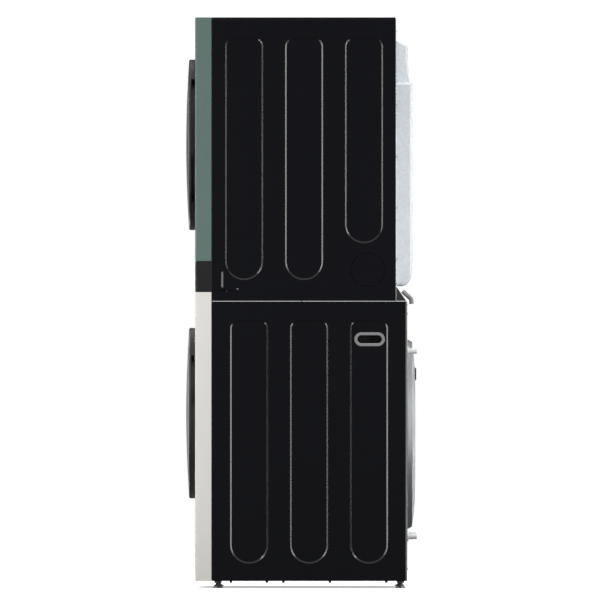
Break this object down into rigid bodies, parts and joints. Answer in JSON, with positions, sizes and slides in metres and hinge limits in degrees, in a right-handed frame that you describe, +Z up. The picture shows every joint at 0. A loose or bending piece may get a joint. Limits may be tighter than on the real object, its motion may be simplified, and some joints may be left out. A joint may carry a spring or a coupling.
{
  "type": "washer dryer tower",
  "caption": "One-body laundry tower: front-load washer below, tumble dryer above, control band between, round doors, drawer, levelling feet.",
  "frame": {"origin": "on the floor, under the middle of the tower's box", "axes": "+Z up, -Y towards the front with the doors, +X to the right seen from the front (the door-handle side)"},
  "size_m": [0.7, 0.7651, 1.89],
  "materials": {
    "green_paint": "satin grey-green paint",
    "beige_paint": "satin warm beige paint",
    "black_paint": "gloss black paint",
    "band_plastic": "gloss near-black plastic",
    "door_plastic": "gloss dark grey plastic",
    "smoked_glass": "smoked glass",
    "galvanised": "galvanised sheet",
    "stainless": "satin stainless steel",
    "zinc": "zinc plated",
    "grey_plastic": "matte grey plastic",
    "white_plastic": "matte white plastic",
    "black_plastic": "matte black plastic",
    "grey_rubber": "grey rubber",
    "black_rubber": "black rubber",
    "counterweight": "cast counterweight, bare",
    "windings": "varnished windings"
  },
  "bodies": {
    "cabinet": {"base_pan": "black_paint", "blower_housing": "grey_plastic", "control_panel": "band_plastic", "counterweight": "counterweight", "dispenser_housing": "white_plastic", "door_gasket": "grey_rubber", "drain_elbow": "grey_plastic", "drain_pump": "white_plastic", "drive_belt": "black_rubber", "dryer_base": "galvanised", "dryer_bulkhead": "grey_plastic", "dryer_front_panel": "green_paint", "dryer_hinge": "zinc", "dryer_motor": "zinc", "dryer_rear_panel": "galvanised", "dryer_side_left": "black_paint", "dryer_side_right": "black_paint", "exhaust_duct": "galvanised", "hand_hold_left": "grey_plastic", "hand_hold_right": "grey_plastic", "rear_access_cover": "galvanised", "rear_duct_cover": "galvanised", "stator": "windings", "top_panel": "black_paint", "transit_sleeve_1": "white_plastic", "transit_sleeve_2": "white_plastic", "transit_sleeve_3": "white_plastic", "transit_sleeve_4": "white_plastic", "transition_cover": "black_plastic", "tub_spring_left": "zinc", "tub_spring_right": "zinc", "washer_front_panel": "beige_paint", "washer_hinge": "zinc", "washer_rear_panel": "galvanised", "washer_side_left": "black_paint", "washer_side_right": "black_paint", "washer_tub": "grey_plastic"},
    "washer_door": {"washer_door": "door_plastic", "washer_door_glass": "smoked_glass", "washer_door_window": "smoked_glass"},
    "dryer_door": {"dryer_door": "door_plastic", "dryer_door_glass": "smoked_glass", "dryer_door_window": "smoked_glass"},
    "washer_drum": {"washer_drum": "stainless", "drum_spider": "zinc", "rotor": "zinc"},
    "dryer_drum": {"dryer_drum": "stainless"},
    "dryer_shaft": {"motor_pulley": "zinc", "blower_wheel": "black_plastic"},
    "detergent_drawer": {"detergent_drawer": "beige_paint"},
    "filter_flap": {"filter_flap": "beige_paint"},
    "lint_filter": {"lint_filter": "grey_plastic"},
    "dryer_power_button": {"dryer_power_button": "door_plastic"},
    "dryer_start_button": {"dryer_start_button": "door_plastic"},
    "washer_power_button": {"washer_power_button": "door_plastic"},
    "washer_start_button": {"washer_start_button": "door_plastic"},
    "foot_1": {"foot_1": "zinc"},
    "foot_2": {"foot_2": "zinc"},
    "foot_3": {"foot_3": "zinc"},
    "foot_4": {"foot_4": "zinc"}
  },
  "joints": [
    {"name": "washer_door_hinge", "type": "hinge", "parent": "cabinet", "child": "washer_door", "pos_m": [-0.29, -0.3578, 0.578], "axis": [0, 0, -1], "range_deg": [0, 120]},
    {"name": "dryer_door_hinge", "type": "hinge", "parent": "cabinet", "child": "dryer_door", "pos_m": [-0.29, -0.3578, 1.47], "axis": [0, 0, -1], "range_deg": [0, 120]},
    {"name": "washer_drum_spin", "type": "hinge", "parent": "cabinet", "child": "washer_drum", "pos_m": [0, -0.2334, 0.56611], "axis": [0, -0.995, 0.0999], "continuous": true},
    {"name": "dryer_drum_spin", "type": "hinge", "parent": "cabinet", "child": "dryer_drum", "pos_m": [0, -0.236, 1.47], "axis": [0, -1, 0], "continuous": true},
    {"name": "dryer_shaft_spin", "type": "hinge", "parent": "cabinet", "child": "dryer_shaft", "pos_m": [0.06, 0.02, 1.053], "axis": [0, -1, 0], "continuous": true},
    {"name": "detergent_drawer_slide", "type": "slide", "parent": "cabinet", "child": "detergent_drawer", "axis": [0, -1, 0], "range_m": [0, 0.23]},
    {"name": "filter_flap_hinge", "type": "hinge", "parent": "cabinet", "child": "filter_flap", "pos_m": [-0.25, -0.3518, 0.0605], "axis": [1, 0, 0], "range_deg": [0, 90]},
    {"name": "lint_filter_slide", "type": "slide", "parent": "cabinet", "child": "lint_filter", "axis": [0, 0, 1], "range_m": [0, 0.15]},
    {"name": "dryer_power_button_press", "type": "slide", "parent": "cabinet", "child": "dryer_power_button", "axis": [0, 1, 0], "range_m": [0, 0.0015], "stiffness_N_per_m": 800},
    {"name": "dryer_start_button_press", "type": "slide", "parent": "cabinet", "child": "dryer_start_button", "axis": [0, 1, 0], "range_m": [0, 0.0015], "stiffness_N_per_m": 800},
    {"name": "washer_power_button_press", "type": "slide", "parent": "cabinet", "child": "washer_power_button", "axis": [0, 1, 0], "range_m": [0, 0.0015], "stiffness_N_per_m": 800},
    {"name": "washer_start_button_press", "type": "slide", "parent": "cabinet", "child": "washer_start_button", "axis": [0, 1, 0], "range_m": [0, 0.0015], "stiffness_N_per_m": 800},
    {"name": "foot_1_height", "type": "slide", "parent": "cabinet", "child": "foot_1", "axis": [0, 0, -1], "range_m": [0, 0.02]},
    {"name": "foot_2_height", "type": "slide", "parent": "cabinet", "child": "foot_2", "axis": [0, 0, -1], "range_m": [0, 0.02]},
    {"name": "foot_3_height", "type": "slide", "parent": "cabinet", "child": "foot_3", "axis": [0, 0, -1], "range_m": [0, 0.02]},
    {"name": "foot_4_height", "type": "slide", "parent": "cabinet", "child": "foot_4", "axis": [0, 0, -1], "range_m": [0, 0.02]}
  ],
  "couplings": [
    {"joint": "dryer_shaft_spin", "follows": "dryer_drum_spin", "ratio": 23.944}
  ]
}
